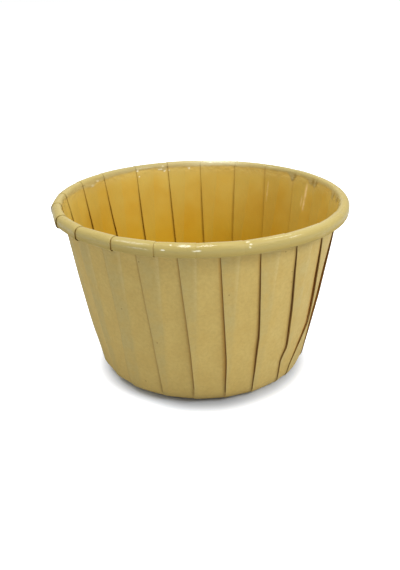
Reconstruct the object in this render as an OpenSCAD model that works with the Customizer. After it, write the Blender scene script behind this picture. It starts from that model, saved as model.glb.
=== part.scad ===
// Pleated baking cup with a rolled rim, pressed from one flat disc of coated paper.
// The sheet is never cut or stretched: every pleat takes up its share of the paper that is
// spare where the flat disc is wider than the cup.

/* [Cup] */
// Height over the rolled rim
cup_h = 41.5; // [38:0.5:46]
// Outer diameter of the rolled rim
rim_d = 69; // [66:0.5:74]
// Diameter at which the line of the wall would meet the table
base_d = 49.2; // [46:0.1:54]
// Radius of the bend between base and wall
corner_r = 4.2; // [3:0.2:6]
// How far the wall bulges outwards at mid height
wall_belly = 0.1; // [0:0.05:0.6]

/* [Coated paper] */
// Thickness of the paper with its film
paper_t = 0.15; // [0.12:0.01:0.18]
// Air between two layers of a pleat
fold_gap = 0.09; // [0.06:0.01:0.12]

/* [Pleats] */
// Number of pleats round the cup
pleats = 22; // [16:1:24]
// Angle of the first pleat's centre line round the cup, from the X axis
first_pleat = 4.2; // [0:0.1:20]
// Share of a pleat's overlap on the inner fold's side of its centre line
inner_share = 0.43; // [0.35:0.01:0.6]
// How high a pleat already stands where it starts, as a share of its full height
pleat_start = 0.8; // [0.7:0.05:1]

/* [Rolled rim] */
// Height of the roll
roll_h = 3.3; // [2.8:0.1:4]
// Radius of the hollow left inside the roll's tightest bend
curl_r = 0.15; // [0.1:0.05:0.4]
// Length of paper tucked up behind the roll
tuck_l = 0.9; // [0.5:0.1:1.1]
// Air between the tucked paper and the wall
tuck_gap = 0.2; // [0.12:0.02:0.3]

/* [Hidden] */
paper_colour = "#c8ae66";

// Shares of the base's bend at which a pleat first stands up, and at which it first folds over
step_at = 0.4;
fold_at = 0.7;

// Layers of a pleat
half_t = paper_t / 2;
layer = paper_t + fold_gap;
stack = 2 * layer + paper_t;
pitch = 360 / pleats;
// On the flat base a pleat's eight points lie side by side, this far apart
flat_step = pitch / 32;

// Roll: a wide arc over the top, a tighter one underneath that ends behind the wall
rim_r = rim_d / 2;
low_arc_r = curl_r + stack - half_t;
roll_w = paper_t + 2 * low_arc_r + tuck_gap + stack;
top_arc_r = (roll_w - paper_t) / 2;
top_arc = [rim_r - half_t - top_arc_r, cup_h - half_t - top_arc_r];
low_arc = [rim_r - half_t - low_arc_r, cup_h - roll_h + half_t + low_arc_r];

// Wall: the line from the base's corner that touches the inside of the top arc
foot = [base_d / 2 - half_t, half_t];
reach = top_arc - foot;
wall_a = atan2(reach.y, reach.x) + asin(top_arc_r / norm(reach));
wall_dir = [cos(wall_a), sin(wall_a)];
wall_out = [sin(wall_a), -cos(wall_a)];
corner_setback = corner_r * tan(wall_a / 2);
wall_foot = foot + corner_setback * wall_dir;
wall_top = top_arc - top_arc_r * wall_out;

// States of the sheet at a ring: laid flat, standing up in a step, or folded over
FLAT = 0;
STEP = 1;
FOLD = 2;

// A ring of the profile: its point on the sheet's middle, the way to the paper side, its state
function ring(point, out, state = FOLD) = [point, out, state];
function corner_ring(a, state) =
    ring([foot.x - corner_setback + corner_r * sin(a), foot.y + corner_r * (1 - cos(a))],
        [sin(a), -cos(a)], state);
function arc_ring(centre, r, a) =
    let(u = [cos(a), sin(a)]) ring(centre + r * u, -u);

corner_rings = [
    corner_ring(0, FLAT),
    corner_ring(wall_a * step_at, STEP),
    corner_ring(wall_a * fold_at, FOLD),
    corner_ring(wall_a, FOLD)
];
wall_rings = [
    ring((wall_foot + wall_top) / 2 + wall_belly * wall_out, wall_out),
    ring(wall_top, wall_out)
];
roll_rings = concat(
    [for (a = [135, 90, 45]) arc_ring(top_arc, top_arc_r, a)],
    [ring([rim_r - half_t, (top_arc.y + low_arc.y) / 2], [-1, 0])],
    [for (a = [-45, -90, -135, -180]) arc_ring(low_arc, low_arc_r, a)],
    [ring([low_arc.x - low_arc_r, low_arc.y + tuck_l], [1, 0])]
);
rings = concat(corner_rings, wall_rings, roll_rings);
last = len(rings) - 1;
roll_start = len(corner_rings) + len(wall_rings) - 1;

// Distance of each ring from the middle of the flat disc, measured along the sheet
function run(j) = j == 0 ? rings[0][0].x : run(j - 1) + norm(rings[j][0] - rings[j - 1][0]);
// Width of a pleat's overlap at a ring, as an angle round the cup
function overlap(j) =
    let(r = rings[j][0].x) (run(j) - r) / r * pitch / 2;

// Folds of one pleat at a ring, from its centre line. On the roll the inner fold runs
// straight over, so the outer fold alone takes up what is spare.
function inner_fold(j) = inner_share * overlap(min(j, roll_start));
function outer_fold(j) = inner_fold(j) - overlap(j);

// The sheet's way through one pleat and on to the middle of the next panel, as
// [angle, shift along the wall, level, film side's direction]. Level 0 is the layer next to
// the filling, and the film side's direction is [along, outwards].
function flat_way() = concat(
    [for (i = [-3.5:3.5]) [flat_step * i, 0, 0, [0, -1]]],
    [[pitch / 2, 0, 0, [0, -1]]]
);
function step_way(h) = [
    [0, -layer, 0, [0, -1]],
    [0, 0, 0, [sin(45), -cos(45)]],
    [0, 0, h * 0.5, [1, 0]],
    [0, 0, h * 0.85, [1, 0]],
    [0, 0, h * 1.15, [1, 0]],
    [0, 0, h * 1.5, [1, 0]],
    [0, 0, h * 2, [sin(45), -cos(45)]],
    [0, layer, h * 2, [0, -1]],
    [pitch / 2, 0, h, [0, -1]]
];
function fold_way(inner, outer, h) = [
    [outer, 0, 0, [0, -1]],
    [inner, 0, 0, [0, -1]],
    [inner, h / 2, h / 2, [1, 0]],
    [inner, 0, h, [0, 1]],
    [outer, 0, h, [0, 1]],
    [outer, -h / 2, h * 1.5, [1, 0]],
    [outer, 0, h * 2, [0, -1]],
    [inner, 0, h * 2, [0, -1]],
    [(inner + outer + pitch) / 2, 0, h, [0, -1]]
];
function way(j) =
    rings[j][2] == FLAT ? flat_way() :
    rings[j][2] == STEP ? step_way(layer * pleat_start) :
    fold_way(inner_fold(j), outer_fold(j), layer);

// A point on one face of the sheet: side 1 is the film, -1 the bare paper
function face_point(j, centre_a, stop, side) =
    let(a = centre_a + stop[0],
        along = stop[1] + side * half_t * stop[3].x,
        level = stop[2] + side * half_t * stop[3].y,
        at = rings[j][0] + level * rings[j][1])
    [at.x * cos(a) - along * sin(a), at.x * sin(a) + along * cos(a), at.y];
function face_points(side) = [
    for (j = [0:last])
        let(stops = way(j))
        for (k = [0:pleats - 1], stop = stops)
            face_point(j, first_pleat + k * pitch, stop, side)
];

per_ring = pleats * len(flat_way());
per_face = per_ring * (last + 1);
function film(j, i) = j * per_ring + i % per_ring;
function paper(j, i) = per_face + film(j, i);
film_centre = 2 * per_face;
paper_centre = film_centre + 1;

function quad(a, b, c, d) = [[a, b, c], [a, c, d]];
function sheet_faces() = [
    for (j = [0:last - 1], i = [0:per_ring - 1])
        each concat(
            quad(film(j, i), film(j, i + 1), film(j + 1, i + 1), film(j + 1, i)),
            quad(paper(j, i), paper(j + 1, i), paper(j + 1, i + 1), paper(j, i + 1)))
];
function base_faces() = [
    for (i = [0:per_ring - 1])
        each [[film_centre, film(0, i + 1), film(0, i)], [paper_centre, paper(0, i), paper(0, i + 1)]]
];
function edge_faces() = [
    for (i = [0:per_ring - 1])
        each quad(film(last, i), film(last, i + 1), paper(last, i + 1), paper(last, i))
];

// The whole cup is one folded sheet
module cup() {
    color(paper_colour)
        polyhedron(
            points = concat(face_points(1), face_points(-1), [[0, 0, paper_t], [0, 0, 0]]),
            faces = concat(sheet_faces(), base_faces(), edge_faces()),
            convexity = 8);
}

cup();
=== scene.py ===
"""A pleated baking cup of film-coated paper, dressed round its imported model."""
from math import asin, atan2, cos, pi, radians, sin, tan

import bpy
from mathutils import Matrix, Vector


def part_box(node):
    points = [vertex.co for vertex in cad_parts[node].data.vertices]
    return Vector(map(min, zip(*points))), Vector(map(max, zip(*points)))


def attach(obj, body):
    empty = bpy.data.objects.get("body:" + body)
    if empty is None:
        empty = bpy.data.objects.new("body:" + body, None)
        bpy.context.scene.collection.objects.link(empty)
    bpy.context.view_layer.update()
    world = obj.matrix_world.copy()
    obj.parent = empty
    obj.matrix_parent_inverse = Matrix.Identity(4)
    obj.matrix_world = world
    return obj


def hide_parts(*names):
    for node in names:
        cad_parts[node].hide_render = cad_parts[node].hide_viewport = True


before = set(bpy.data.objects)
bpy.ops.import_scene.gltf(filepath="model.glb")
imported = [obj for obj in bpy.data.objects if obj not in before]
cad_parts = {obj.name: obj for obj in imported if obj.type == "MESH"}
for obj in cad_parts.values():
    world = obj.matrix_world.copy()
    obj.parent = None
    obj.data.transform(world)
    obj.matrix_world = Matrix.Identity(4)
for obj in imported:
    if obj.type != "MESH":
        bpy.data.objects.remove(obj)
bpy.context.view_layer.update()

MM = 0.001
cup_low, cup_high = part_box("cup")

# The cup's sizes, in metres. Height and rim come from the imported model, less what the
# roll's open seams stand out.
SEAM_OPEN = 0.06 * MM
CUP_H = cup_high[2] - cup_low[2] - SEAM_OPEN
RIM_R = (cup_high[0] - cup_low[0]) / 2 - SEAM_OPEN
BASE_R = 24.7 * MM
BEND_R = 3.8 * MM
BELLY = 0.1 * MM
ROLL_H = 2.9 * MM
ROLL_W = 2.5 * MM
ROLL_LOW_R = 0.71 * MM
TUCK_L = 0.9 * MM
# How far the rim is pressed in at the front
FRONT_PRESS = 0.4 * MM
# How far the start of the roll stands out as a lip
ROLL_LIP = 0.11 * MM
PAPER_T = 0.05 * MM
LAYER_WALL = 0.18 * MM
LAYER_BASE = 0.09 * MM
LAYER_ROLL = 0.06 * MM

# The pleats, in degrees round the cup from the X axis
PLEATS = 22
FIRST_PLEAT = 4.2
INNER_SHARE = 0.43
PITCH = 2 * pi / PLEATS


class Term:
    """A value in a node tree. Sums on it add Math nodes."""

    def __init__(self, tree, socket):
        self.tree = tree
        self.socket = socket

    def calc(self, operation, *others, clamp=False):
        settings = {"operation": operation, "use_clamp": clamp}
        return self.tree.add("ShaderNodeMath", settings, dict(enumerate((self, *others))))

    def __add__(self, other):
        return self.calc("ADD", other)

    def __sub__(self, other):
        return self.calc("SUBTRACT", other)

    def __rsub__(self, other):
        return self.tree.number(other).calc("SUBTRACT", self)

    def __mul__(self, other):
        return self.calc("MULTIPLY", other)

    def __truediv__(self, other):
        return self.calc("DIVIDE", other)

    def __mod__(self, other):
        return self.calc("FLOORED_MODULO", other)

    def __pow__(self, other):
        return self.calc("POWER", other)

    def __lt__(self, other):
        return self.calc("LESS_THAN", other)

    def __gt__(self, other):
        return self.calc("GREATER_THAN", other)

    def __neg__(self):
        return self * -1

    __radd__ = __add__
    __rmul__ = __mul__

    def sine(self):
        return self.calc("SINE")

    def cosine(self):
        return self.calc("COSINE")

    def floor(self):
        return self.calc("FLOOR")

    def held(self):
        """The value, kept between 0 and 1."""
        return self.calc("ADD", 0, clamp=True)

    def bell(self, middle, width):
        """1 where the value is at the middle, and smoothly less on both sides of it."""
        off = (self - middle) / width
        return (-(off * off)).calc("EXPONENT")


class Tree:
    """A node tree, and the one method that adds a node to it."""

    def __init__(self, tree):
        self.tree = tree

    def add(self, kind, settings=None, inputs=None, out=0):
        node = self.tree.nodes.new(kind)
        for name, value in (settings or {}).items():
            setattr(node, name, value)
        for key, value in (inputs or {}).items():
            if isinstance(value, Term):
                self.tree.links.new(value.socket, node.inputs[key])
            else:
                node.inputs[key].default_value = value
        return Term(self, node.outputs[out])

    def number(self, value):
        return self.add("ShaderNodeMath", {"operation": "ADD"}, {0: value, 1: 0})

    def vector(self, x, y, z):
        return self.add("ShaderNodeCombineXYZ", None, {0: x, 1: y, 2: z})

    def parts(self, vector):
        """The x, y and z of a vector."""
        split = self.add("ShaderNodeSeparateXYZ", None, {0: vector})
        return [Term(self, socket) for socket in split.socket.node.outputs]

    def distance(self, place, spot):
        return self.add("ShaderNodeVectorMath", {"operation": "DISTANCE"}, {0: place, 1: spot}, out=1)

    def mix(self, factor, a, b):
        """Colour a where factor is 0, b where it is 1."""
        return self.add("ShaderNodeMix", {"data_type": "RGBA"}, {0: factor, 6: a, 7: b}, out=2)

    def ease(self, value, start, end, low=0.0, high=1.0):
        """Goes smoothly from low to high while value goes from start to end."""
        inputs = {"Value": value, "From Min": start, "From Max": end, "To Min": low, "To Max": high}
        return self.add("ShaderNodeMapRange", {"interpolation_type": "SMOOTHSTEP"}, inputs)

    def noise(self, vector, scale, detail=2.0, roughness=0.5):
        """Smooth noise about 0, from roughly -0.5 to 0.5."""
        inputs = {"Vector": vector, "Scale": scale, "Detail": detail, "Roughness": roughness}
        return self.add("ShaderNodeTexNoise", None, inputs) - 0.5

    def named(self, name):
        """A value stored on the points, in a tree that shapes them."""
        return self.add("GeometryNodeInputNamedAttribute", {"data_type": "FLOAT"}, {"Name": name})


# Each pleat's own ways, measured in the photograph where it shows them and chosen alike where
# it doesn't. Folds turn from even spacing, in degrees: the inner fold at the rim and from half
# height down, the outer fold at the rim, at mid_z and from low_z down. Then, in millimetres, how
# far the outer fold stands open, at which height most, how far the inner one does, how far the
# roll's seam does, and the height above which the painted shade along the inner fold fades.
PLEAT_WAYS = ("inner_top", "inner_low", "outer_top", "outer_mid", "outer_low", "mid_z", "low_z",
              "gape", "gape_z", "inner_gape", "seam", "line_shade_z")
PLEATS_OWN = (
    (0.0, 0.3, -0.3, 0.4, -1.5, 15.0, 3.0, 0.3, 20.0, 0.1, 0.01, 30.0),
    (0.6, -0.5, 0.2, 0.0, -0.8, 14.0, 3.0, 0.3, 18.0, 0.1, 0.01, 28.0),
    (-1.2, -2.8, -1.4, -1.9, -2.6, 14.0, 3.0, 0.3, 18.0, 0.1, 0.01, 39.0),
    (-0.6, -1.9, -0.9, -1.2, -2.4, 12.0, 3.0, 0.2, 18.0, 0.12, 0.01, 44.0),
    (-1.0, -0.3, -0.8, 0.2, -1.6, 14.0, 3.0, 0.3, 15.0, 0.15, 0.01, 36.0),
    (0.0, 0.0, 0.3, 0.2, -0.6, 15.0, 3.0, 0.25, 20.0, 0.18, 0.01, 34.0),
    (-0.1, 0.0, -0.3, 0.4, 0.2, 16.0, 3.0, 0.25, 18.0, 0.22, 0.02, 42.0),
    (0.1, 1.3, -0.4, 0.8, -0.6, 15.0, 3.0, 0.35, 14.0, 0.24, 0.01, 35.0),
    (2.5, 2.4, 1.3, 1.8, 1.0, 14.0, 3.0, 0.2, 18.0, 0.24, 0.01, 37.0),
    (1.7, 2.6, 0.8, 1.4, 0.4, 12.0, 3.0, 0.3, 22.0, 0.26, 0.01, 38.0),
    (3.2, 2.2, 1.4, 1.2, -0.4, 15.0, 3.0, 0.25, 18.0, 0.28, 0.01, 31.0),
    (0.5, 1.0, 0.0, 0.6, -1.0, 13.0, 3.0, 0.3, 16.0, 0.2, 0.06, 36.0),
    (0.5, 1.2, -0.2, 0.4, -0.8, 15.0, 3.0, 0.2, 18.0, 0.2, 0.14, 36.0),
    (0.2, 0.8, 1.0, 0.2, -1.4, 18.0, 4.0, 0.1, 18.0, 0.2, 0.15, 38.0),
    (1.3, 1.5, 1.4, -0.4, -4.0, 17.0, 5.0, 0.1, 18.0, 0.2, 0.14, 38.0),
    (0.9, 1.3, 0.4, 0.5, -0.5, 17.0, 2.5, 0.13, 16.0, 0.2, 0.09, 38.0),
    (-1.4, -0.8, 0.0, 0.7, 0.1, 15.0, 3.0, 0.16, 13.0, 0.2, 0.02, 38.0),
    (-1.8, -1.2, -0.9, 0.1, -0.8, 12.0, 2.5, 0.25, 11.0, 0.2, 0.01, 38.0),
    (-1.6, -1.0, -1.9, -0.7, -2.4, 17.0, 3.0, 0.18, 14.0, 0.2, 0.0, 38.0),
    (-0.8, 0.4, -2.1, 1.2, -1.9, 11.2, 8.3, 0.15, 22.0, 0.2, 0.0, 38.0),
    (-0.6, 0.0, -3.0, 3.0, -9.8, 14.2, 4.0, 0.22, 24.0, 0.2, 0.0, 38.0),
    (-0.8, -0.4, 0.0, 0.0, -3.0, 14.0, 3.0, 0.2, 22.0, 0.15, 0.01, 38.0),
)
INNER_LOW_Z = 21.0
RIM_Z = 40.0

# Height over which an outer fold closes again above and below where it stands open most
GAPE_SPREAD = 13.0
# From how far open an outer fold lets light through, and how far open a roll's seam shows in full
GAPE_SHOWS, SEAM_SHOWS = 0.11, 0.125
# The waves of the sheet between base and roll: how fine, and how deep
WAVE_SCALE, WAVE_DEPTH = 90.0, 0.35 * MM

# Rings of points along the profile
FLAT_ROWS, BEND_ROWS, WALL_ROWS, TOP_ROWS, SIDE_ROWS, LOW_ROWS, TUCK_ROWS = 3, 8, 24, 14, 3, 9, 3
ROLL_ROW = FLAT_ROWS + BEND_ROWS + WALL_ROWS
ROWS = ROLL_ROW + TOP_ROWS + SIDE_ROWS + LOW_ROWS + TUCK_ROWS

# Stops round one pleat: the layer next to the filling, the turn at the inner fold, the layer
# back, the turn at the outer fold, the layer on top, and the panel up to the next pleat
LAYER_STOPS, TURN_STOPS, PANEL_STOPS = 4, 6, 8
INNER_TURN = LAYER_STOPS
BACK_LAYER = INNER_TURN + TURN_STOPS
OUTER_TURN = BACK_LAYER + LAYER_STOPS
TOP_LAYER = OUTER_TURN + TURN_STOPS
PANEL = TOP_LAYER + LAYER_STOPS
STOPS = PANEL + PANEL_STOPS


def wall_sizes():
    """Angle of the wall, its length, and the radius of the flat base."""
    top_r = (ROLL_W - PAPER_T) / 2
    top = Vector((RIM_R - PAPER_T / 2 - top_r, CUP_H - PAPER_T / 2 - top_r))
    foot = Vector((BASE_R - PAPER_T / 2, PAPER_T / 2))
    reach = top - foot
    angle = atan2(reach.y, reach.x) + asin(top_r / reach.length)
    setback = BEND_R * tan(angle / 2)
    wall = (reach.length ** 2 - top_r ** 2) ** 0.5 - setback
    return angle, wall, foot.x - setback


WALL_A, WALL_L, FLAT_R = wall_sizes()
SIZES = {
    "Flat base radius": FLAT_R,
    "Bend radius": BEND_R,
    "Wall angle": WALL_A,
    "Wall length": WALL_L,
    "Wall belly": BELLY,
    "Roll top radius": (ROLL_W - PAPER_T) / 2,
    "Roll side": ROLL_H - PAPER_T - (ROLL_W - PAPER_T) / 2 - ROLL_LOW_R,
    "Roll low radius": ROLL_LOW_R,
    "Tuck length": TUCK_L,
    "Front press": FRONT_PRESS,
    "Roll lip": ROLL_LIP,
    "Paper thickness": PAPER_T,
    "Layer on wall": LAYER_WALL,
    "Layer on roll": LAYER_ROLL,
    "Layer at base": LAYER_BASE,
    "First pleat": radians(FIRST_PLEAT),
    "Inner share": INNER_SHARE,
}


def stretch(value, start, length):
    """Share of the stretch from start, length long, that value has covered, from 0 to 1."""
    return ((value - start) / length).held()


def follow_profile(row, size):
    """The sheet's middle at a row of points: radius, height, heading, length so far, shares."""
    steps = [
        ("flat", FLAT_ROWS, size["Flat base radius"], None),
        ("bend", BEND_ROWS, size["Bend radius"], size["Wall angle"]),
        ("wall", WALL_ROWS, size["Wall length"], None),
        ("top", TOP_ROWS, -size["Roll top radius"], -(size["Wall angle"] + pi / 2)),
        ("side", SIDE_ROWS, size["Roll side"], None),
        ("low", LOW_ROWS, -size["Roll low radius"], row * 0 - pi),
        ("tuck", TUCK_ROWS, size["Tuck length"], None),
    ]
    heading = row * 0
    r, z, length = row * 0, row * 0 + PAPER_T / 2, row * 0
    shares = {}
    start = 0
    before = row * 0
    for name, rows, span, turn in steps:
        share = stretch(row, start, rows)
        start += rows
        shares[name] = share
        if turn is None:
            r = r + span * share * before.cosine()
            z = z + span * share * before.sine()
            length = length + span * share
        else:
            now = before + turn * share
            r = r + span * (now.sine() - before.sine())
            z = z + span * (before.cosine() - now.cosine())
            length = length + span * turn * share
            before = before + turn
            heading = heading + turn * share
    return r, z, heading, length, shares


def overlap_angle(length, r):
    """How far a pleat's layers overlap, from the length along the sheet and the radius."""
    return (length - r) / r.calc("MAXIMUM", 0.1 * MM) * PITCH / 2


class FoldedSheet:
    """The points of a flat grid, and where each of them goes in the folded sheet."""

    def __init__(self, tree, pleats, size):
        self.tree = tree
        self.pleats = pleats
        self.size = size
        self.lay_grid()
        self.read_profile()
        self.find_folds()
        self.find_layers()

    def lay_grid(self):
        """A grid with a column for each stop, and a line for each row of both faces."""
        columns = PLEATS * STOPS
        lines = 2 * ROWS + 1
        self.grid = self.tree.add("GeometryNodeMeshGrid", None, {
            "Size X": float(columns), "Size Y": float(lines),
            "Vertices X": columns + 1, "Vertices Y": lines + 1})
        x, y, _ = self.tree.parts(self.tree.add("GeometryNodeInputPosition"))
        column = (x + columns / 2 + 0.5).floor()
        line = (y + lines / 2 + 0.5).floor()
        self.on_paper = line > ROWS + 0.5
        self.row = line * (1 - self.on_paper) + (lines - line) * self.on_paper
        self.pleat = ((column + 0.25) / STOPS).floor()
        self.stop = column - self.pleat * STOPS

    def read_profile(self):
        """Where a row lies along the profile, and what changes with that."""
        ease = self.tree.ease
        size = self.size
        self.r, self.z, self.heading, self.length, self.shares = follow_profile(self.row, size)
        bend, wall, top = self.shares["bend"], self.shares["wall"], self.shares["top"]
        self.on_roll = ease(top, 0.0, 0.5)
        self.turned = ease(bend, 0.0, 0.7)
        self.rise = ease(bend, 0.0, 0.9)
        self.on_wall = ease(wall, 0.0, 0.15) * (1 - ease(wall, 0.86, 1.0))
        before_wall = size["Flat base radius"] + size["Bend radius"] * size["Wall angle"]
        self.rim_length = before_wall + size["Wall length"]
        self.overlap = overlap_angle(self.length, self.r)
        held_r, _, _, held_length, _ = follow_profile(self.row.calc("MINIMUM", ROLL_ROW), size)
        self.held_overlap = overlap_angle(held_length, held_r)

    def way(self, name, number):
        """One of a pleat's own ways."""
        return self.tree.add("GeometryNodeSampleIndex", {"data_type": "FLOAT", "domain": "POINT"}, {
            "Geometry": self.pleats, "Value": self.tree.named(name),
            "Index": (number % PLEATS).floor()})

    def seam_shown(self):
        """0 where the roll's seam is closed, up to 1 where it stands open."""
        return (self.way("seam", self.pleat) / SEAM_SHOWS).held()

    def fold_angles(self, number):
        """Angles of a pleat's inner and outer fold. On the roll the inner one runs straight over."""
        height = self.z / MM
        even = self.size["First pleat"] + number * PITCH + self.held_overlap * self.size["Inner share"]
        fallen = ((RIM_Z - height) / (RIM_Z - INNER_LOW_Z)).held()
        inner_turn = self.way("inner_top", number) * (1 - fallen)
        inner_turn = inner_turn + self.way("inner_low", number) * fallen
        mid_z, low_z = self.way("mid_z", number), self.way("low_z", number)
        high = ((height - mid_z) / (RIM_Z - mid_z)).held()
        low = ((mid_z - height) / (mid_z - low_z)).held()
        mid = (1 - high) * (1 - low)
        outer_turn = self.way("outer_top", number) * high + self.way("outer_mid", number) * mid
        outer_turn = outer_turn + self.way("outer_low", number) * low
        inner = even + inner_turn * radians(1) * self.turned
        outer = even - self.overlap + outer_turn * radians(1) * self.turned * (1 - self.on_roll)
        outer = outer + inner_turn * radians(1) * self.on_roll
        return inner, outer.calc("MINIMUM", inner)

    def find_folds(self):
        """The folds on both sides of a point, and how far round the cup it lies."""
        stop = self.stop
        self.inner, self.outer = self.fold_angles(self.pleat)
        self.before_inner, _ = self.fold_angles(self.pleat - 1)
        self.next_inner, self.next_outer = self.fold_angles(self.pleat + 1)
        self.under = stretch(stop, 0, LAYER_STOPS)
        self.inner_bend = stretch(stop, INNER_TURN, TURN_STOPS)
        self.back = stretch(stop, BACK_LAYER, LAYER_STOPS)
        self.outer_bend = stretch(stop, OUTER_TURN, TURN_STOPS)
        self.over = stretch(stop, TOP_LAYER, LAYER_STOPS)
        self.panel = self.tree.ease(stop, PANEL, STOPS)
        self.on_panel = stop > PANEL + 0.5
        covered = self.under - self.back + self.over
        self.angle = self.outer + (self.inner - self.outer) * covered
        self.angle = self.angle + (self.next_outer - self.inner) * self.panel

    def find_layers(self):
        """How far a pleat's layers lie apart, and the paper's thickness where they are pressed."""
        size = self.size
        wall = self.shares["wall"]
        loosened = self.tree.ease(wall, 0.0, 0.35) * self.tree.ease(wall, 0.65, 1.0, 1.0, 0.1)
        layer = size["Layer at base"] * (1 - loosened) + size["Layer on wall"] * loosened
        layer = (layer * (1 - self.on_roll) + size["Layer on roll"] * self.on_roll) * self.rise
        # Where the roll's seam is closed, its layers are pressed flat
        thin = 1 - self.on_roll * (1 - self.seam_shown()) * 0.5
        self.layer = layer * thin
        self.half_paper = size["Paper thickness"] / 2 * (1 - self.on_paper * 2) * thin

    def standing_open(self):
        """How far out the open folds and seams push a point."""
        bell_z = (self.z / MM).bell(self.way("gape_z", self.pleat), GAPE_SPREAD)
        gape = self.way("gape", self.pleat) * MM * self.on_wall
        gape = gape * bell_z * (self.back - self.over)
        sag = (1 - self.tree.ease(self.shares["wall"], 0.3, 1.0)) * self.on_wall
        opening = self.way("inner_gape", self.pleat) * MM * sag * (1 - self.on_roll)
        seam = self.way("seam", self.pleat) * MM * self.tree.ease(self.shares["top"], 0.3, 1.0)
        return gape - (opening + seam) * (self.under - self.back)

    def flat_stretches(self):
        """How far in the paper lies between two folds, because it spans them nearly straight."""
        low_down = 1 - self.shares["wall"]
        flatness = 0.4 + low_down * low_down * 0.5
        from_outer = (self.angle - self.outer) / (self.next_outer - self.outer)
        on_cup = from_outer * (1 - from_outer) * flatness * MM * self.shares["bend"]
        start = self.before_inner * (1 - self.on_panel) + self.inner * self.on_panel
        end = self.inner * (1 - self.on_panel) + self.next_inner * self.on_panel
        from_inner = (self.angle - start) / (end - start)
        corner = self.way("seam", self.pleat + self.on_panel) * 6.0 + 0.2
        on_roll = from_inner * (1 - from_inner) * corner * MM
        return on_cup * (1 - self.on_roll) + on_roll * self.on_roll

    def place(self):
        """Where a point goes."""
        tree, shares, angle = self.tree, self.shares, self.angle
        inner_a = (self.inner_bend - 0.5) * pi
        outer_a = (self.outer_bend - 0.5) * pi
        fall = 1 - (1 - self.panel) * (1 - self.panel)
        level = (inner_a.sine() + outer_a.sine()) * 0.5 + 1 - fall * 2
        along = (inner_a.cosine() - outer_a.cosine()) * self.layer / 2
        film_a = (self.inner_bend - self.outer_bend) * pi * self.rise - pi / 2

        around = tree.vector(angle.cosine() * self.r, angle.sine() * self.r, self.z)
        loose = shares["bend"] * (1 - shares["top"])
        wave = tree.noise(around, WAVE_SCALE, 1.0) * WAVE_DEPTH * loose
        belly = (shares["wall"] * pi).sine() * self.size["Wall belly"]
        lip = shares["top"].bell(0.28, 0.15) * self.size["Roll lip"]
        in_front = tree.ease(-(angle + radians(5)).sine(), 0.5, 0.9)
        pressed = in_front * shares["wall"] * self.size["Front press"]

        out = level * self.layer + self.standing_open() - lip + wave + belly
        out = out + film_a.sine() * self.half_paper
        aside = along + film_a.cosine() * self.half_paper
        far = self.r + self.heading.sine() * out - self.flat_stretches() - pressed
        return tree.vector(
            far * angle.cosine() - aside * angle.sine(),
            far * angle.sine() + aside * angle.cosine(),
            self.z - self.heading.cosine() * out)

    def between(self, low, high):
        """1 at the stops from low to high, 0 at the others."""
        return (self.stop > low - 0.5) * (self.stop < high + 0.5)

    def stored(self):
        """What the materials read: every value here is read from where the points start."""
        tree, shares = self.tree, self.shares
        at_outer = self.between(0, 0)
        at_inner = self.between(PANEL, PANEL)
        inner_turn = self.between(INNER_TURN + 1, BACK_LAYER - 1)
        outer_turn = self.between(OUTER_TURN + 1, TOP_LAYER - 1)

        opened = (self.way("gape", self.pleat + self.on_panel) - GAPE_SHOWS) * 10
        opened = opened.held() * self.on_wall
        # Painted shade along the outer folds and beside them
        outer_gap_shade = at_outer + self.between(STOPS - 1, STOPS - 1) * (0.6 - opened * 0.25)
        outer_gap_shade = outer_gap_shade + outer_turn * 0.8
        near_outer = (((self.panel - 0.8) / 0.2).held() ** 2 + at_outer).held()

        # Painted shade along the inner folds, fading above a pleat's own height, and along the roll's
        # open seams
        line_shade_z = self.way("line_shade_z", self.pleat) * MM
        inner_gap_shade = at_inner + self.between(PANEL + 1, PANEL + 1) * 0.25 + inner_turn * 0.5
        inner_gap_shade = inner_gap_shade * tree.ease(self.z, line_shade_z - 3 * MM, line_shade_z + 3 * MM, 1.0, 0.1)
        inner_gap_shade = inner_gap_shade * (1 - self.on_roll) * tree.ease(shares["bend"], 0.6, 1.0)
        seam_gap_shade = (at_inner + inner_turn * 0.5) * self.seam_shown()
        inner_gap_shade = inner_gap_shade + seam_gap_shade * tree.ease(shares["top"], 0.55, 0.8)
        line = outer_gap_shade * self.on_paper + inner_gap_shade * (1 - self.on_paper)
        return {
            "plies": (1 - stretch(self.stop, PANEL, 2)) * self.rise,
            "film": 1 - self.on_paper,
            "climb": shares["wall"],
            "past rim": (self.length - self.rim_length) / MM,
            # The painted shade in the folds' gaps
            "gap_shade": line * tree.ease(shares["bend"], 0.35, 1.0),
            "print": at_inner * self.on_paper * tree.ease(shares["wall"], 0.4, 0.9),
            "glow": near_outer * opened,
            "under": self.between(1, OUTER_TURN) * self.on_paper * self.rise,
        }


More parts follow.
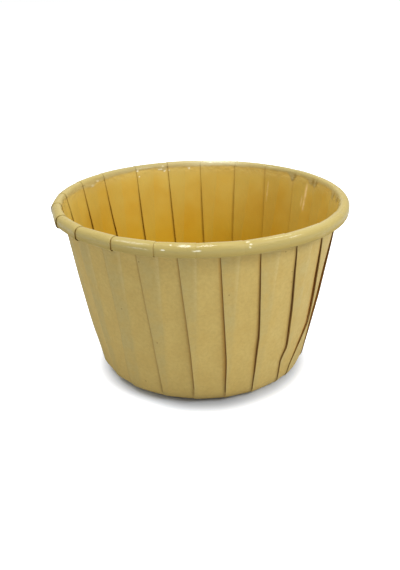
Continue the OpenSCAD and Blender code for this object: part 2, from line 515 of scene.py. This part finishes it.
def pleated_sheet():
    """The tree that folds the sheet: one vertex per pleat goes in, and the cup comes out."""
    group = bpy.data.node_groups.new("pleated sheet", "GeometryNodeTree")
    group.interface.new_socket("Geometry", in_out="INPUT", socket_type="NodeSocketGeometry")
    for name, value in SIZES.items():
        socket = group.interface.new_socket(name, in_out="INPUT", socket_type="NodeSocketFloat")
        socket.default_value = value
    for name in ("Film side", "Paper side"):
        group.interface.new_socket(name, in_out="INPUT", socket_type="NodeSocketMaterial")
    group.interface.new_socket("Geometry", in_out="OUTPUT", socket_type="NodeSocketGeometry")
    tree = Tree(group)
    given = {socket.name: Term(tree, socket) for socket in group.nodes.new("NodeGroupInput").outputs}
    folded = FoldedSheet(tree, given["Geometry"], given)

    # The values are stored before the points move
    sheet = folded.grid
    place = folded.place()
    for name, value in folded.stored().items():
        sheet = tree.add("GeometryNodeStoreNamedAttribute", {"data_type": "FLOAT", "domain": "POINT"},
            {"Geometry": sheet, "Name": name, "Value": value})
    sheet = tree.add("GeometryNodeSetPosition", None, {"Geometry": sheet, "Position": place})
    sheet = tree.add("GeometryNodeMergeByDistance", None, {"Geometry": sheet, "Distance": 0.0001 * MM})
    sheet = tree.add("GeometryNodeFlipFaces", None, {"Mesh": sheet})
    sheet = tree.add("GeometryNodeSetShadeSmooth", None, {"Geometry": sheet, "Shade Smooth": True})
    sheet = tree.add("GeometryNodeRealizeInstances", None, {"Geometry": sheet})
    sheet = tree.add("GeometryNodeSetMaterial", None,
        {"Geometry": sheet, "Material": given["Paper side"]})
    sheet = tree.add("GeometryNodeSetMaterial", None,
        {"Geometry": sheet, "Selection": tree.named("film") > 0.5, "Material": given["Film side"]})
    result = group.nodes.new("NodeGroupOutput")
    group.links.new(sheet.socket, result.inputs["Geometry"])
    return group


def pleat_guide():
    """One vertex per pleat, which carries that pleat's own ways."""
    mesh = bpy.data.meshes.new("pleat guide")
    mesh.from_pydata([(0, 0, 0)] * PLEATS, [], [])
    for column, name in enumerate(PLEAT_WAYS):
        values = [ways[column] for ways in PLEATS_OWN]
        mesh.attributes.new(name, "FLOAT", "POINT").data.foreach_set("value", values)
    guide = bpy.data.objects.new("pleat guide", mesh)
    bpy.context.scene.collection.objects.link(guide)
    return guide


def make_cup(film, paper):
    """Folds the cup and returns it as a plain mesh object."""
    group = pleated_sheet()
    guide = pleat_guide()
    modifier = guide.modifiers.new("pleated sheet", "NODES")
    modifier.node_group = group
    values = dict(SIZES)
    values["Film side"] = film
    values["Paper side"] = paper
    for item in group.interface.items_tree:
        if item.in_out == "INPUT" and item.name in values:
            modifier[item.identifier] = values[item.name]
    evaluated = guide.evaluated_get(bpy.context.evaluated_depsgraph_get())
    mesh = bpy.data.meshes.new_from_object(evaluated)
    mesh.name = "pleated_cup"
    guide.modifiers.remove(modifier)
    bpy.data.objects.remove(guide)
    cup = bpy.data.objects.new("pleated_cup", mesh)
    bpy.context.scene.collection.objects.link(cup)
    return cup


def new_material(name):
    """A material's tree, its Principled shader and its object coordinates."""
    material = bpy.data.materials.new(name)
    material.use_nodes = True
    tree = Tree(material.node_tree)
    shader = material.node_tree.nodes["Principled BSDF"]
    place = tree.add("ShaderNodeTexCoord", out=3)
    return material, tree, shader, place


def plug(tree, shader, **values):
    """Links or sets the shader's sockets, whose names are written with underscores."""
    for name, value in values.items():
        socket = shader.inputs[name.replace("_", " ")]
        if isinstance(value, Term):
            tree.tree.links.new(value.socket, socket)
        else:
            socket.default_value = value


def attribute(tree, name):
    """A value that the folded sheet carries."""
    return tree.add("ShaderNodeAttribute", {"attribute_name": name}, out=2)


# Colours of the bare paper: one layer and three, one layer warmer with painted light that shines
# through the thin paper, a painted sheen on the cup's lit right side, its clouds, fibres and
# specks, light through an open fold, the print of the fold beneath, and the painted shade in the
# gap of a fold
PAPER_SINGLE = (0.54, 0.385, 0.116, 1)
PAPER_TRIPLE = (0.46, 0.35, 0.123, 1)
PAPER_SHEEN = (0.54, 0.42, 0.165, 1)
PAPER_CLOUD = (0.505, 0.345, 0.095, 1)
PAPER_FIBRE = (0.38, 0.265, 0.08, 1)
PAPER_SPECK = (0.16, 0.09, 0.03, 1)
PAPER_GLOW = (0.55, 0.26, 0.035, 1)
PAPER_PRINT = (0.60, 0.46, 0.18, 1)
PAPER_GAP_SHADE = (0.11, 0.045, 0.007, 1)
# Light that comes through the paper into a pleat
LIGHT_NONE = (0, 0, 0, 1)
LIGHT_THROUGH = (0.07, 0.02, 0.002, 1)
# Painted sheen on the cup's lit right side: azimuth and half width in degrees, strength
SHEEN_AT, SHEEN_WIDTH, SHEEN_STRENGTH = -15, 40, 0.6


def paper_side():
    """Bare unbleached paper: matt, warmer where it is one layer thick as painted light shining through,
    with fibres and specks, a painted sheen and painted shade in its fold gaps.
    """
    material, tree, shader, place = new_material("bare paper")
    x, y, _ = tree.parts(place)
    azimuth = y.calc("ARCTAN2", x)
    cloud = tree.noise(place, 240.0, 4.0, 0.6)
    fibre = tree.noise(place, 1500.0, 3.0, 0.65)
    speck = tree.add("ShaderNodeTexVoronoi", None, {"Vector": place, "Scale": 260.0})

    # One layer is warmer than three: painted light shining through the thin paper
    colour = tree.mix(attribute(tree, "plies"), PAPER_SINGLE, PAPER_TRIPLE)
    # Painted sheen where the light falls on the cup's right side
    pale = azimuth.bell(radians(SHEEN_AT), radians(SHEEN_WIDTH)) * SHEEN_STRENGTH
    colour = tree.mix(pale, colour, PAPER_SHEEN)
    colour = tree.mix((cloud * 2.4 + 0.35).held(), colour, PAPER_CLOUD)
    colour = tree.mix(attribute(tree, "glow"), colour, PAPER_GLOW)
    colour = tree.mix(attribute(tree, "print") * 0.5, colour, PAPER_PRINT)
    colour = tree.mix((fibre * 1.1 + 0.14).held(), colour, PAPER_FIBRE)
    colour = tree.mix((speck < 0.045) * 0.5, colour, PAPER_SPECK)
    # Painted shade in the gaps along the outer folds
    colour = tree.mix((attribute(tree, "gap_shade") ** 1.5 * 0.95).held(), colour, PAPER_GAP_SHADE)
    through = attribute(tree, "under") * (1 - attribute(tree, "climb") * 0.8)
    light = tree.mix(through, LIGHT_NONE, LIGHT_THROUGH)
    bump = tree.add("ShaderNodeBump", None, {"Strength": 0.25, "Distance": 0.1 * MM, "Height": fibre})
    plug(tree, shader, Base_Color=colour, Roughness=0.85, Normal=bump, Specular_IOR_Level=0.25)
    plug(tree, shader, Emission_Color=light, Emission_Strength=1.0)
    return material


# Colours of the film side: low, half way up and high on the wall, darker low down as painted
# shade deep in the cup; its clouds; where it lies on three layers, greyer since the warmth of one
# layer is painted light shining through; next to the rim, paler as painted light; a painted shade
# on the cup's left inside; and on the roll from its start to underneath, paler at the start as
# painted light and browner underneath as painted shade
FILM_LOW = (0.455, 0.238, 0.003, 1)
FILM_MIDDLE = (0.54, 0.338, 0.003, 1)
FILM_HIGH = (0.645, 0.47, 0.100, 1)
FILM_CLOUD = (0.55, 0.295, 0.012, 1)
FILM_TRIPLE_LOW = (0.43, 0.28, 0.006, 1)
FILM_TRIPLE_HIGH = (0.53, 0.42, 0.11, 1)
FILM_RIM_LIGHT = (0.60, 0.45, 0.14, 1)
FILM_LEFT_SHADE = (0.40, 0.21, 0.004, 1)
ROLL_START_LIT = (0.50, 0.39, 0.14, 1)
ROLL_TOP = (0.42, 0.328, 0.106, 1)
ROLL_UNDER_SHADE = (0.38, 0.27, 0.068, 1)
ROLL_SHEEN = (0.78, 0.78, 0.56, 1)
ROLL_GREY = (0.30, 0.30, 0.20, 1)
ROLL_BROWN = (0.30, 0.28, 0.13, 1)
# Colours of its marks: a painted highlight along a fold, a painted highlight on a shining wrinkle, the
# painted shade beside a crumpled dip, and the painted shade of the line at a pleat
STREAK_HIGHLIGHT = (0.90, 0.68, 0.32, 1)
GLINT_COLOUR = (0.86, 0.82, 0.60, 1)
DIP_SHADE_COLOUR = (0.27, 0.17, 0.02, 1)
FOLD_LINE_SHADE = (0.24, 0.09, 0.006, 1)

# Where the pale, crumpled start of the roll dips down the film side, in the photograph:
# azimuth and half width in degrees, depth in millimetres
RIM_DIPS = ((40.2, 1.9, 1.8), (28.0, 2.2, 1.3), (24.6, 1.7, 1.6), (5.4, 1.6, 1.7), (-1.5, 2.0, 1.2))
# Where the roll's film is pale further down, without the painted shade beside it
RIM_PALE = ((155.0, 22.0, 0.7), (95.0, 25.0, 0.35), (108.5, 1.8, 0.8), (150.5, 3.0, 0.6))
# Stretches of the roll's top that differ in colour, the pale ones a painted sheen: azimuth, half width,
# strength, colour
ROLL_TINTS = (
    (82.0, 15.0, 0.4, ROLL_SHEEN), (-48.0, 16.0, 0.1, ROLL_SHEEN),
    (122.0, 20.0, 0.25, ROLL_GREY), (47.0, 16.0, 0.3, ROLL_BROWN),
)
# Painted shade on the cup's left inside: azimuth, half width, strength
LEFT_SHADE_AT, LEFT_SHADE_WIDTH, LEFT_SHADE_STRENGTH = 152.0, 16.0, 0.3
# Painted highlights where the film is drawn over a fold and catches the light: azimuth, heights
# they run between, half width, strength
FILM_HIGHLIGHT_STREAKS = (
    (30.0, 31.5, 39.8, 0.7, 0.9), (32.0, 32.5, 36.5, 0.5, 0.5), (54.0, 31.5, 38.0, 0.4, 0.45),
)
# Painted highlights where wrinkles of the film shine: azimuth, distance past the rim, half width
# in degrees, half height in millimetres, strength
FILM_GLINTS = (
    (-95.5, 2.5, 3.0, 0.45, 0.9), (-100.0, 2.4, 0.6, 0.3, 0.8), (-102.6, 3.5, 1.1, 0.2, 1.0),
    (-91.3, 3.5, 2.3, 0.25, 0.9), (-74.3, 2.2, 0.9, 0.35, 0.8), (-73.5, 2.8, 0.7, 0.3, 0.8),
    (-73.9, 3.4, 0.6, 0.25, 0.7), (-63.0, 2.2, 8.0, 0.15, 0.5), (-57.0, 2.8, 5.0, 0.15, 0.4),
    (-114.0, 2.7, 8.5, 0.35, 0.35), (-112.0, 3.6, 6.0, 0.2, 0.3), (82.0, 1.2, 10.0, 0.8, 0.8),
    (86.0, 1.4, 3.5, 0.3, 0.6), (76.4, 1.4, 1.6, 0.25, 0.7), (121.9, -0.1, 0.9, 0.5, 1.0),
    (110.0, -0.5, 1.8, 0.25, 0.9), (105.5, -0.9, 0.8, 0.3, 0.6), (95.4, -0.7, 0.9, 0.45, 1.0),
    (146.0, -0.2, 1.3, 0.4, 0.55), (150.0, -0.9, 1.8, 0.45, 0.35),
    (121.4, -1.7, 0.7, 0.3, 0.8), (107.8, -1.0, 1.0, 0.4, 0.9), (108.5, 0.3, 1.2, 0.3, 0.5),
)


def rim_marks(tree, place, azimuth, past):
    """How far the roll's start dips down the film, and the painted shade beside the dips."""
    dips = tree.noise(place, 700.0, 2.0) * 0.5
    for degrees, width, depth in RIM_DIPS + RIM_PALE:
        dips = dips + azimuth.bell(radians(degrees), radians(width)) * depth
    folds = tree.number(0.0)
    # Painted shade beside each dip
    for degrees, width, depth in RIM_DIPS:
        beside = azimuth.bell(radians(degrees - 0.8 * width), radians(0.4 * width))
        folds = folds + beside * min(depth, 1.2)
    return dips, folds * past.bell(-0.3, 0.8)


def wall_film(tree, place, azimuth, climb, lowered, pale):
    """Colour of the film side on the base and the wall, with painted shade and painted light."""
    # Darker low on the wall and paler high up: painted shade deep in the cup
    colour = tree.mix(climb, FILM_LOW, FILM_HIGH)
    colour = tree.mix(climb.bell(0.45, 0.25) * 0.5, colour, FILM_MIDDLE)
    cloud = tree.noise(place, 110.0, 2.0)
    colour = tree.mix((cloud * 1.6 + 0.2).held(), colour, FILM_CLOUD)
    # Three layers are greyer than one: the warmth of one layer is painted light shining through
    triple = tree.mix(climb, FILM_TRIPLE_LOW, FILM_TRIPLE_HIGH)
    colour = tree.mix(attribute(tree, "plies") * 0.3, colour, triple)
    # Paler next to the rim: painted light
    colour = tree.mix(tree.ease(lowered, -3.0, 0.0) * 0.5, colour, FILM_RIM_LIGHT)
    # Painted shade on the cup's left inside
    left_shade = azimuth.bell(radians(LEFT_SHADE_AT), radians(LEFT_SHADE_WIDTH)) * LEFT_SHADE_STRENGTH * (1 - pale)
    return tree.mix(left_shade, colour, FILM_LEFT_SHADE)


def add_highlight_streaks(tree, place, azimuth, colour):
    """The film's painted highlights along its folds, laid over a colour."""
    _, _, z = tree.parts(place)
    rough = (tree.noise(place, 900.0, 1.0) * 2.5 + 0.8).held()
    for degrees, low_z, high_z, width, strength in FILM_HIGHLIGHT_STREAKS:
        run = tree.ease(z, low_z * MM, (low_z + 1.5) * MM)
        run = run * tree.ease(z, (high_z - 2) * MM, high_z * MM, 1.0, 0.0)
        # Painted highlight along a fold of the film
        streak = azimuth.bell(radians(degrees), radians(width)) * run * rough * strength
        colour = tree.mix(streak, colour, STREAK_HIGHLIGHT)
    return colour


def roll_film(tree, azimuth, past):
    """Colour of the film side on the roll, with painted light at its start, painted shade underneath and
    a painted sheen.
    """
    # Paler at the roll's start: painted light where it lies in shade
    rolled = tree.mix(tree.ease(past, -0.5, 1.5), ROLL_START_LIT, ROLL_TOP)
    # Browner underneath: painted shade
    rolled = tree.mix(tree.ease(past, 3.6, 4.6) * 0.7, rolled, ROLL_UNDER_SHADE)
    # The pale tints are a painted sheen
    for degrees, width, strength, tint in ROLL_TINTS:
        tinted = azimuth.bell(radians(degrees), radians(width)) * tree.ease(past, 3.0, 1.6)
        rolled = tree.mix(tinted * strength, rolled, tint)
    return rolled


def add_glints(tree, azimuth, past, colour):
    """Painted highlights on the film's wrinkles, laid over a colour with broken edges."""
    broken = tree.noise(tree.vector(azimuth * 40.0, past * 5.0, 0.0), 1.0, 3.0, 0.7) * 3.0
    # Each glint is a painted highlight
    for degrees, middle, width, tall, strength in FILM_GLINTS:
        across = (azimuth - radians(degrees)) / radians(width)
        down = (past - middle) / tall
        shine = tree.ease(0.8 - across * across - down * down + broken, 0.0, 1.1) * strength
        colour = tree.mix(shine, colour, GLINT_COLOUR)
    return colour


def film_relief(tree, place, along, past, pale):
    """Bump of the film: ribs along the roll, fine creases, and crumples where the roll starts."""
    ribs = tree.noise(along, 1.3, 3.0, 0.6) * 0.12 * MM * pale
    creases = tree.noise(place, 420.0, 2.0) * 0.05 * MM
    crumple = tree.noise(place, 900.0, 1.0) * past.bell(-0.7, 0.9) * 0.15 * MM
    height = ribs + creases + crumple + pale * 0.05 * MM
    return tree.add("ShaderNodeBump", None, {"Strength": 1.0, "Distance": 1.0, "Height": height})


def film_side():
    """Paper under a clear film: glossy, darker low in the cup as painted shade, pale on the roll, with
    painted highlights, a painted sheen and painted shade.
    """
    material, tree, shader, place = new_material("film-coated paper")
    climb, past = attribute(tree, "climb"), attribute(tree, "past rim")
    x, y, _ = tree.parts(place)
    azimuth = y.calc("ARCTAN2", x)
    dips, folds = rim_marks(tree, place, azimuth, past)
    pale = tree.ease(past + dips, -0.3, 0.5)

    colour = wall_film(tree, place, azimuth, climb, past + dips, pale)
    colour = add_highlight_streaks(tree, place, azimuth, colour)
    colour = tree.mix(pale, colour, roll_film(tree, azimuth, past))
    colour = add_glints(tree, azimuth, past, colour)
    # Painted shade beside the crumpled dips
    colour = tree.mix((folds * 0.6).held(), colour, DIP_SHADE_COLOUR)
    # Painted shade along the inner folds and the roll's open seams
    colour = tree.mix((attribute(tree, "gap_shade") * 0.75).held(), colour, FOLD_LINE_SHADE)

    along = tree.vector(azimuth * 7.0, past, 0.0)
    bump = film_relief(tree, place, along, past, pale)
    glossy = tree.ease(tree.noise(along, 0.8, 1.0), 0.02, 0.16)
    roughness = 0.24 + pale * 0.16 - glossy * pale * 0.26
    roughness = roughness + tree.ease(past, 3.8, 4.8) * 0.45
    plug(tree, shader, Base_Color=colour, Roughness=roughness, Normal=bump, Specular_IOR_Level=0.2)
    return material


# The photograph's frame and the camera that was fitted to it
FRAME_W, FRAME_H = 400, 570
FOCAL_PX = 700.0
CENTRE_PX = (201.55, 275.89)
CAMERA_FAR = 172.0 * MM
CAMERA_UP = radians(23.09)
CAMERA_ROLL = -0.016
SENSOR = 36.0


def place_camera():
    data = bpy.data.cameras.new("camera")
    data.sensor_width = SENSOR
    data.lens = FOCAL_PX * SENSOR / FRAME_H
    data.shift_x = -(CENTRE_PX[0] - FRAME_W / 2) / FRAME_H
    data.shift_y = (CENTRE_PX[1] - FRAME_H / 2) / FRAME_H
    data.clip_start = 0.005
    camera = bpy.data.objects.new("camera", data)
    back = Vector((0, -cos(CAMERA_UP), sin(CAMERA_UP)))
    spot = Vector((0, 0, CUP_H / 2)) + back * CAMERA_FAR
    turn = back.to_track_quat("Z", "Y").to_matrix().to_4x4()
    camera.matrix_world = Matrix.Translation(spot) @ turn @ Matrix.Rotation(CAMERA_ROLL, 4, "Z")
    bpy.context.scene.collection.objects.link(camera)
    bpy.context.scene.camera = camera


# Soft lamps: name, azimuth, elevation, distance, size, power
LAMPS = (
    ("over", -102, 83, 0.7, 0.15, 2.4),
    ("right front", -32, 40, 0.7, 0.25, 2.5),
    ("left", 170, 60, 0.6, 0.2, 0.8),
    ("back", 90, 30, 0.7, 0.4, 0.3),
)
# Strength of the white world as the camera sees it, and as it lights the cup
SKY_SEEN, SKY_LIGHT = 1.0, 0.59


def place_lamp(name, azimuth, elevation, far, size, power):
    """A square soft lamp that looks at the cup."""
    data = bpy.data.lights.new(name, "AREA")
    data.size = size
    data.energy = power
    lamp = bpy.data.objects.new(name, data)
    a, e = radians(azimuth), radians(elevation)
    away = Vector((cos(e) * cos(a), cos(e) * sin(a), sin(e)))
    turn = away.to_track_quat("Z", "Y").to_matrix().to_4x4()
    lamp.matrix_world = Matrix.Translation(Vector((0, 0, CUP_H / 2)) + away * far) @ turn
    bpy.context.scene.collection.objects.link(lamp)


def light_the_room():
    world = bpy.data.worlds.new("studio")
    world.use_nodes = True
    bpy.context.scene.world = world
    tree = Tree(world.node_tree)
    background = world.node_tree.nodes["Background"]
    seen = tree.add("ShaderNodeLightPath", out=0)
    strength = seen * SKY_SEEN + (1 - seen) * SKY_LIGHT
    world.node_tree.links.new(strength.socket, background.inputs["Strength"])
    background.inputs["Color"].default_value = (1, 1, 1, 1)
    for lamp in LAMPS:
        place_lamp(*lamp)


# The floor lies just under the cup, so that the two never lie in one plane
FLOOR_Z = -0.03 * MM
FLOOR_HALF = 3.0
# Outside the shadow's soft edge the floor glows white, so that nothing else of it shows
SHADOW_AT = Vector((0.2 * MM, -2.0 * MM, 0))
SHADOW_EDGE = (21.9 * MM, 28.6 * MM)
FLOOR_GLOW = 0.85
# Painted shadow: the floor's colour is darker close in front of the cup
SHADOW_PAINT_AT = Vector((0, -24 * MM, 0))
SHADOW_PAINT_EDGE = (4 * MM, 14 * MM)
FLOOR_PAINTED_SHADOW = (0.52, 0.55, 0.605, 1)
FLOOR_LIT = (0.68, 0.72, 0.79, 1)


def lay_floor():
    """A white floor that shows the cup's soft shadow, with a painted shadow close in front of it."""
    mesh = bpy.data.meshes.new("floor")
    corners = [(x * FLOOR_HALF, y * FLOOR_HALF, FLOOR_Z) for x, y in ((-1, -1), (1, -1), (1, 1), (-1, 1))]
    mesh.from_pydata(corners, [], [(0, 1, 2, 3)])
    floor = bpy.data.objects.new("floor", mesh)
    bpy.context.scene.collection.objects.link(floor)
    material, tree, shader, place = new_material("white floor")
    seen = tree.add("ShaderNodeLightPath", out=0)
    glow = seen * tree.ease(tree.distance(place, SHADOW_AT), *SHADOW_EDGE) * FLOOR_GLOW
    # Painted shadow close in front of the cup
    lit = tree.ease(tree.distance(place, SHADOW_PAINT_AT), *SHADOW_PAINT_EDGE)
    colour = tree.mix(lit, FLOOR_PAINTED_SHADOW, FLOOR_LIT)
    plug(tree, shader, Base_Color=colour, Roughness=0.9, Specular_IOR_Level=0.0)
    plug(tree, shader, Emission_Color=(1, 1, 1, 1), Emission_Strength=glow)
    mesh.materials.append(material)


cup = make_cup(film_side(), paper_side())
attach(cup, "root")
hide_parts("cup")
place_camera()
light_the_room()
lay_floor()
bpy.context.scene.view_settings.view_transform = "Standard"
